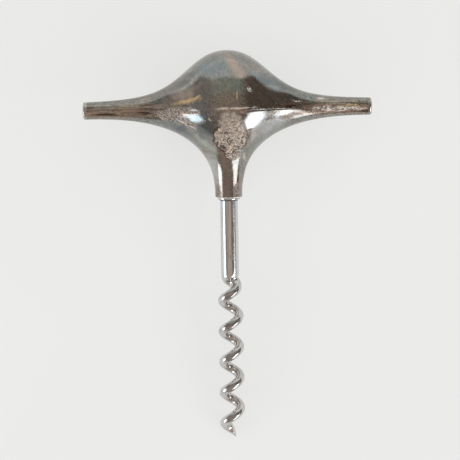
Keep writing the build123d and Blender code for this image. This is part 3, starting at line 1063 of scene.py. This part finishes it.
def cap_finish(finish):
    """Tarnished cap, its rounded edge and the left joint rubbed bright."""
    material, shader = new_finish("tarnished_cap")
    place = tool_millimetres(shader)
    x = parts(place)[0]
    film = tarnish(place, finish, 0.4, 0.6, 0.3, Teal=finish.film_grey)
    edge = ramp(abs(x), 49.5, 49.9, 0.0, 0.7)
    joint = ramp(abs(x + 49.2), 0.7, 0.2) * ramp(noise(place, 1.6, 3, 0.7), 0.46, 0.58)
    broken = ramp(noise(place, 0.9, 4), 0.3, 0.55, 0.35, 1.0)
    rubbed = (edge | joint) * broken | hairlines(place, 1.2, 0.8) * 0.5
    shade = tinted(film["Colour"], finish.worn_silver, rubbed)
    feed(shader, {"Base Color": shade, "Roughness": film["Roughness"]})
    set_bump(shader, film["Height"], 0.08, 0.4 * MILLIMETRE)
    return material


def mouth_finish(finish):
    """Ring at the mouth, rubbed bright, with brown film left here and there."""
    material, shader = new_finish("worn_mouth")
    tints = {"Grey": finish.film_silver, "Teal": finish.film_rose, "Rose": finish.worn_silver}
    film = tarnish(tool_millimetres(shader), finish, 0.4, 0.5, 0.8, **tints)
    feed(shader, {"Base Color": film["Colour"], "Roughness": film["Roughness"]})
    set_bump(shader, film["Height"], 0.08, 0.4 * MILLIMETRE)
    return material


def steel_finish(finish):
    """Drawn steel: fine lines along the wire, stains and pits; painted blue window reflections on the shank,
    painted dark reflections on the worm's crests, a painted shadow under the ring.
    """
    material, shader = new_finish("drawn_steel")
    grain = add(shader.id_data, "ShaderNodeAttribute", output="Vector", attribute_name="grain")
    place = tool_millimetres(shader)
    x, y, z = parts(place)
    drawn = noise(stretched(grain, (3.2, 3.2, 0.05)), 1, 4, 0.7)
    broad = noise(stretched(grain, (1, 1, 0.12)), 0.8, 3, 0.6)
    cloud = noise(place, 0.5, 5, 0.65)
    pit = ramp(noise(place, 3.5, 2), 0.66, 0.74)
    shank = ramp(y, -58.5, -57.0) * ramp(z, 0.0, 0.6)
    # Painted reflections: bluish streaks of the two windows down the front of the shank; the right one is
    # partly matte.
    left = ramp(abs(x + 1.55), 0.95, 0.45) * shank
    right = ramp(abs(x - 2.05), 0.3, 0.12) * shank
    worm = ramp(y, -58.5, -61.0)
    # Painted reflection: the front crests of the worm darkened where they would mirror the dark room
    # overhead.
    crest_reflection = worm * ramp(z, 3.3, 4.1) * ramp(drawn, 0.42, 0.58)
    # Painted shadow: a dark band at the top of the shank, just under the mouth ring.
    corner = ramp(y, -32.4, -32.0)
    shade = layered(
        finish.steel,
        (finish.steel_stain, ramp(broad + cloud, 0.98, 1.3) * 0.4 | pit * 0.5),
        (finish.painted_reflection_blue, (left | right) * 0.75),
        (finish.steel_stain, worm * ramp(z, 3.0, -1.0, 0.0, 0.3)),
        (finish.crust_dark, (crest_reflection | corner) * 0.75),
    )
    shade = tinted(shade, ramp(drawn, 0.34, 0.66, 0.72, 1.1), 1.0, "MULTIPLY")
    gloss = ramp(cloud, 0.35, 0.75, 0.10, 0.24)
    feed(shader, {"Base Color": shade, "Metallic": 1.0 - right * 0.4, "Roughness": gloss})
    set_bump(shader, drawn - pit, 0.05, 0.3 * MILLIMETRE)
    return material


def plain_finish(finish):
    """Turned steel inside the handle: plate and nut, dulled by brown stains."""
    material, shader = new_finish("turned_steel")
    place = tool_millimetres(shader)
    cloud = noise(place, 0.45, 5, 0.65)
    rings = noise(stretched(place, (0.2, 6, 0.2)), 1, 3, 0.6)
    shade = tinted(finish.steel, finish.steel_stain, ramp(cloud, 0.4, 0.7))
    feed(shader, {"Base Color": shade, "Roughness": ramp(cloud, 0.3, 0.7, 0.25, 0.45)})
    set_bump(shader, rings, 0.15, 0.3 * MILLIMETRE)
    return material


def by_ray(tree, other, to_camera, camera_share, to_metal):
    """Shader that the camera sees in part as another, and that the metal shows as a third."""
    seen = put(tree, "ShaderNodeLightPath").outputs
    camera = Value(seen["Is Camera Ray"]) * camera_share
    mixed = add(tree, "ShaderNodeMixShader", {0: camera, 1: other, 2: to_camera})
    return add(tree, "ShaderNodeMixShader", {0: Value(seen["Is Glossy Ray"]), 1: mixed, 2: to_metal})


def paper_finish(studio):
    """Pale paper, faintly cloudy, nearly even to the camera; in the metal it is brighter further off."""
    material, shader = new_finish("pale_paper", metallic=0.0)
    tree = shader.id_data
    place = add(tree, "ShaderNodeTexCoord", output="Object")
    deeper = [0.985 * part for part in studio.floor[:3]] + [1]
    pale = tinted(studio.floor, deeper, ramp(noise(place, 9.0, 2), 0.3, 0.7))
    feed(shader, {"Base Color": pale, "Roughness": 0.9, "Specular IOR Level": 0.1})
    even = add(tree, "ShaderNodeEmission", {"Color": pale, "Strength": 1.0})
    far = ramp(distance(place), 0.10, 0.6, 1.0, 1.25)
    in_metal = add(tree, "ShaderNodeEmission", {"Color": pale, "Strength": far})
    even_share = 0.76
    mixed = by_ray(tree, Value(shader.outputs[0]), even, even_share, in_metal)
    feed(tree.nodes["Material Output"], {"Surface": mixed})
    return material


# Operators


class CORKSCREW_OT_dome(bpy.types.Operator):
    """Domed upper half of the hollow handle"""
    bl_idname = "corkscrew.dome"
    bl_label = "Dome"

    def execute(self, context):
        scene = context.scene
        grids = dome_grids(scene.corkscrew_handle)
        add_piece("dome_shell", grids, dome_finish(scene.corkscrew_finish), "upper_shell")
        return {"FINISHED"}


class CORKSCREW_OT_neck(bpy.types.Operator):
    """Lower half of the hollow handle, which runs down into the neck"""
    bl_idname = "corkscrew.neck"
    bl_label = "Breast and neck"

    def execute(self, context):
        scene = context.scene
        grids = neck_grids(scene.corkscrew_handle)
        add_piece("neck_shell", grids, neck_finish(scene.corkscrew_finish), "lower_shell")
        return {"FINISHED"}


class CORKSCREW_OT_caps(bpy.types.Operator):
    """Discs that close the arms"""
    bl_idname = "corkscrew.caps"
    bl_label = "End caps"

    def execute(self, context):
        scene = context.scene
        material = cap_finish(scene.corkscrew_finish)
        for name, node, side in (("cap_right", "right_end_cap", 1), ("cap_left", "left_end_cap", -1)):
            add_piece(name, cap_grids(scene.corkscrew_handle, side), material, node)
        return {"FINISHED"}


class CORKSCREW_OT_mouth(bpy.types.Operator):
    """Tube in the neck, whose lip is the bright ring at the mouth"""
    bl_idname = "corkscrew.mouth"
    bl_label = "Mouth ring"

    def execute(self, context):
        scene = context.scene
        grids = mouth_grids(scene.corkscrew_handle, scene.corkscrew_steel)
        add_piece("mouth_ring", grids, mouth_finish(scene.corkscrew_finish), "neck_bush")
        return {"FINISHED"}


class CORKSCREW_OT_worm(bpy.types.Operator):
    """Tang, shank and worm, one piece of steel"""
    bl_idname = "corkscrew.worm"
    bl_label = "Shank and worm"

    def execute(self, context):
        scene = context.scene
        grids, grain = worm_grids(scene.corkscrew_handle, scene.corkscrew_steel)
        add_piece("steel_worm", grids, steel_finish(scene.corkscrew_finish), "worm_shank", grain)
        return {"FINISHED"}


class CORKSCREW_OT_anchor(bpy.types.Operator):
    """Finish of the plate and the nut inside the handle, whose CAD shapes stay"""
    bl_idname = "corkscrew.anchor"
    bl_label = "Plate and nut"

    def execute(self, context):
        material = plain_finish(context.scene.corkscrew_finish)
        for node in ("anchor_plate", "tang_nut"):
            mesh = frame["nodes"][node].data
            mesh.materials.clear()
            mesh.materials.append(material)
        return {"FINISHED"}


class CORKSCREW_OT_stage(bpy.types.Operator):
    """Pale paper, two soft windows, a small lamp, the room that the metal shows, and the camera"""
    bl_idname = "corkscrew.stage"
    bl_label = "Stage"

    def execute(self, context):
        scene = context.scene
        studio = scene.corkscrew_studio
        lay_paper(studio)
        hang_light("right_window", studio.daylight, studio.right_window)
        hang_light("left_window", studio.daylight, studio.left_window)
        hang_light("small_lamp", studio.daylight, LAMP_RADIANCE)
        paint_room(scene, studio)
        set_camera(scene, studio)
        scene.view_settings.view_transform = "Standard"
        return {"FINISHED"}


# Stage, in metres

# Each light's place, the point it looks at, its width and height, and its roll in degrees
LIGHTS = {
    "right_window": ((1.32, -1.195, 0.82), (-0.136, -0.137, 0.82), (1.94, 1.10), 33),
    "left_window": ((-1.5, -0.80, 0.55), (0.0, -0.80, 0.55), (1.38, 0.78), 0),
    "small_lamp": ((0.944, 0.668, 0.926), (0.01, 0.05, 0.02), (0.10, 0.05), 20),
}

# Radiance of the lamp; the windows have theirs in the studio's settings
LAMP_RADIANCE = 9.0

PAPER_REACH = 6
PAPER_LEVEL = -0.1 * MILLIMETRE
PAPER_ROWS = 9
CAMERA_PLACE = (0.0002, 0.0053)
CAMERA_TURN = math.radians(-1)
CAMERA_SENSOR = 36
CAMERA_CLIP = 30


def lay_paper(studio):
    """Flat grid of paper under the tool."""
    side = np.linspace(-PAPER_REACH, PAPER_REACH, PAPER_ROWS)
    points = [(x, y, PAPER_LEVEL) for x in side for y in side]
    mesh = bpy.data.meshes.new("paper")
    mesh.from_pydata(points, [], grid_faces(PAPER_ROWS, PAPER_ROWS, 0, False).tolist())
    mesh.materials.append(paper_finish(studio))
    paper = bpy.data.objects.new("paper", mesh)
    bpy.context.scene.collection.objects.link(paper)


def hang_light(name, tint, radiance):
    """Soft rectangle of light, whose power is pi times its area times the radiance."""
    place, aim, size, roll = LIGHTS[name]
    light = bpy.data.lights.new(name, "AREA")
    light.shape = "RECTANGLE"
    light.size, light.size_y = size
    light.color = tint[:3]
    light.energy = math.pi * size[0] * size[1] * radiance
    lamp = bpy.data.objects.new(name, light)
    turn = (Vector(place) - Vector(aim)).to_track_quat("Z", "Y") @ Quaternion((0, 0, 1), math.radians(roll))
    lamp.location = place
    lamp.rotation_euler = turn.to_euler()
    lamp.visible_camera = False
    bpy.context.scene.collection.objects.link(lamp)


def paint_room(scene, studio):
    """Even pale light for paper and camera, and a dim room with a white card for what the metal shows.

    The card stands behind the dome. Its upper edge is wavy, and lower towards both sides.
    """
    world = bpy.data.worlds.new("room")
    scene.world = world
    world.use_nodes = True
    tree = world.node_tree
    tree.nodes.clear()
    way = add(tree, "ShaderNodeTexCoord", output="Generated")
    x, y, z = parts(way)
    forward = y | 0.001
    beside = (abs(x) / forward - 0.58 | 0.0) & 0.4
    rise = z / forward + beside * 1.9 + (noise(way, 7.0, 3) - 0.5) * 0.25
    card = ramp(rise, 0.945, 0.895) * ramp(y, 0.1, 0.2)
    sides = tinted(studio.left_wall, studio.right_wall, ramp(x, -0.2, 0.2))
    room = layered(
        studio.ceiling,
        (studio.front_wall, ramp(y, 0.15, 0.5)),
        (sides, ramp(abs(x), 0.25, 0.65)),
        (studio.card, card),
    )
    fill = add(tree, "ShaderNodeBackground", {"Color": (1, 1, 1, 1), "Strength": studio.fill})
    pale = add(tree, "ShaderNodeBackground", {"Color": studio.floor, "Strength": 1.0})
    shown = add(tree, "ShaderNodeBackground", {"Color": room, "Strength": 1.0})
    put(tree, "ShaderNodeOutputWorld", {"Surface": by_ray(tree, fill, pale, 1.0, shown)})


def set_camera(scene, studio):
    """Camera straight above, turned a degree."""
    camera = bpy.data.cameras.new("camera")
    camera.lens = studio.lens
    camera.sensor_width = CAMERA_SENSOR
    camera.clip_end = CAMERA_CLIP
    stand = bpy.data.objects.new("camera", camera)
    stand.location = (*CAMERA_PLACE, studio.camera_height)
    stand.rotation_euler = (0, 0, CAMERA_TURN)
    scene.collection.objects.link(stand)
    scene.camera = stand


# Panel and steps


class CORKSCREW_PT_panel(bpy.types.Panel):
    """Sizes, colours and steps of the corkscrew"""
    bl_idname = "CORKSCREW_PT_panel"
    bl_label = "Corkscrew"
    bl_space_type = "VIEW_3D"
    bl_region_type = "UI"
    bl_category = "Corkscrew"

    def draw(self, context):
        for step in STEPS:
            self.layout.operator(step.bl_idname)
        for name in GROUPS:
            group = getattr(context.scene, name)
            box = self.layout.box()
            for key in group.__annotations__:
                box.prop(group, key)


STEPS = (
    CORKSCREW_OT_dome, CORKSCREW_OT_neck, CORKSCREW_OT_caps, CORKSCREW_OT_mouth, CORKSCREW_OT_worm,
    CORKSCREW_OT_anchor, CORKSCREW_OT_stage,
)
GROUPS = {
    "corkscrew_handle": HandleSizes, "corkscrew_steel": SteelSizes, "corkscrew_finish": Finish,
    "corkscrew_studio": Studio,
}


def register():
    for cls in (*GROUPS.values(), *STEPS, CORKSCREW_PT_panel):
        bpy.utils.register_class(cls)
    for name, cls in GROUPS.items():
        setattr(bpy.types.Scene, name, PointerProperty(type=cls))


def unregister():
    for name in GROUPS:
        delattr(bpy.types.Scene, name)
    for cls in reversed((*GROUPS.values(), *STEPS, CORKSCREW_PT_panel)):
        bpy.utils.unregister_class(cls)


def main():
    register()
    bpy.ops.corkscrew.dome()
    bpy.ops.corkscrew.neck()
    bpy.ops.corkscrew.caps()
    bpy.ops.corkscrew.mouth()
    bpy.ops.corkscrew.worm()
    bpy.ops.corkscrew.anchor()
    bpy.ops.corkscrew.stage()


if __name__ == "__main__":
    main()
